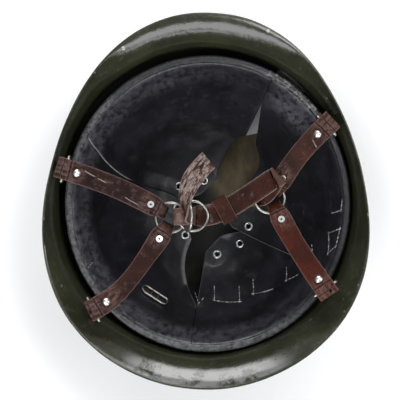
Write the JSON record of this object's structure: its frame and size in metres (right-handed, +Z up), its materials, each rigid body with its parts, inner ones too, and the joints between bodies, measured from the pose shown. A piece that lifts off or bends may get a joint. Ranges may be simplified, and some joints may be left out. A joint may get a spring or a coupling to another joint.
{
  "type": "steel combat helmet",
  "caption": "Flared steel combat helmet resting on its crown, with a leather liner and a strap harness that lifts out of the bowl.",
  "frame": {"origin": "lowest point of the crown, at the middle of the outline", "axes": "+Z up through the opening, away from the crown; +Y towards the front of the brim; +X to the right as seen from above"},
  "size_m": [0.2474, 0.285, 0.1728],
  "materials": {
    "olive_paint": "satin",
    "black_leather": "gloss",
    "brown_leather": "satin",
    "worn_leather": "matte",
    "steel_fittings": "satin",
    "rivet_steel": "polished",
    "liner_steel": "satin",
    "dark_thread": "matte"
  },
  "bodies": {
    "helmet": {"shell": "olive_paint", "shell_rivets": "olive_paint", "rivet_spacers": "liner_steel", "liner_band": "liner_steel", "liner_edge_binding": "black_leather", "front_tongue": "black_leather", "left_tongue": "black_leather", "rear_tongue": "black_leather", "right_tongue": "black_leather", "tongue_eyelets": "steel_fittings", "liner_stitches": "dark_thread", "spring_clip": "steel_fittings", "front_left_lug": "liner_steel", "rear_left_lug": "liner_steel", "front_right_lug": "liner_steel", "rear_right_lug": "liner_steel", "front_left_anchor_ring": "steel_fittings", "rear_left_anchor_ring": "steel_fittings", "front_right_anchor_ring": "steel_fittings", "rear_right_anchor_ring": "steel_fittings"},
    "harness_centre": {"left_junction_ring": "steel_fittings", "right_junction_ring": "steel_fittings", "buckle_loop": "worn_leather", "flat_buckle_ring": "steel_fittings", "upright_buckle_ring": "steel_fittings", "chin_strap": "brown_leather"},
    "keeper": {"keeper_loop": "brown_leather"},
    "front_left_strap_body": {"front_left_strap": "brown_leather", "front_left_strap_rivets": "rivet_steel"},
    "rear_left_strap_body": {"rear_left_strap": "brown_leather", "rear_left_strap_rivets": "rivet_steel"},
    "front_right_strap_body": {"front_right_strap": "brown_leather", "front_right_strap_rivets": "rivet_steel"},
    "rear_right_strap_body": {"rear_right_strap": "brown_leather", "rear_right_strap_rivets": "rivet_steel"}
  },
  "joints": [
    {"name": "harness_lift", "type": "slide", "parent": "helmet", "child": "harness_centre", "axis": [0, 0, 1], "range_m": [0, 0.036]},
    {"name": "front_left_strap_swing", "type": "hinge", "parent": "harness_centre", "child": "front_left_strap_body", "pos_m": [-0.03608, -0.00597, 0.145], "axis": [-0.3118, -0.9501, 0], "range_deg": [0, 26.68]},
    {"name": "rear_left_strap_swing", "type": "hinge", "parent": "harness_centre", "child": "rear_left_strap_body", "pos_m": [-0.03196, -0.02285, 0.145], "axis": [0.4639, -0.8859, 0], "range_deg": [0, 27.32]},
    {"name": "front_right_strap_swing", "type": "hinge", "parent": "harness_centre", "child": "front_right_strap_body", "pos_m": [0.05523, 0.01129, 0.145], "axis": [-0.7, 0.7142, 0], "range_deg": [0, 34.93]},
    {"name": "rear_right_strap_swing", "type": "hinge", "parent": "harness_centre", "child": "rear_right_strap_body", "pos_m": [0.05461, -0.00769, 0.145], "axis": [0.8258, 0.564, 0], "range_deg": [0, 29.6]},
    {"name": "keeper_slide", "type": "slide", "parent": "harness_centre", "child": "keeper", "axis": [0.8854, 0.4649, 0], "range_m": [0, 0.006]}
  ],
  "couplings": [
    {"joint": "front_left_strap_swing", "follows": "harness_lift", "rad_per_m": 12.911},
    {"joint": "rear_left_strap_swing", "follows": "harness_lift", "rad_per_m": 13.219},
    {"joint": "front_right_strap_swing", "follows": "harness_lift", "rad_per_m": 16.913},
    {"joint": "rear_right_strap_swing", "follows": "harness_lift", "rad_per_m": 14.325}
  ]
}
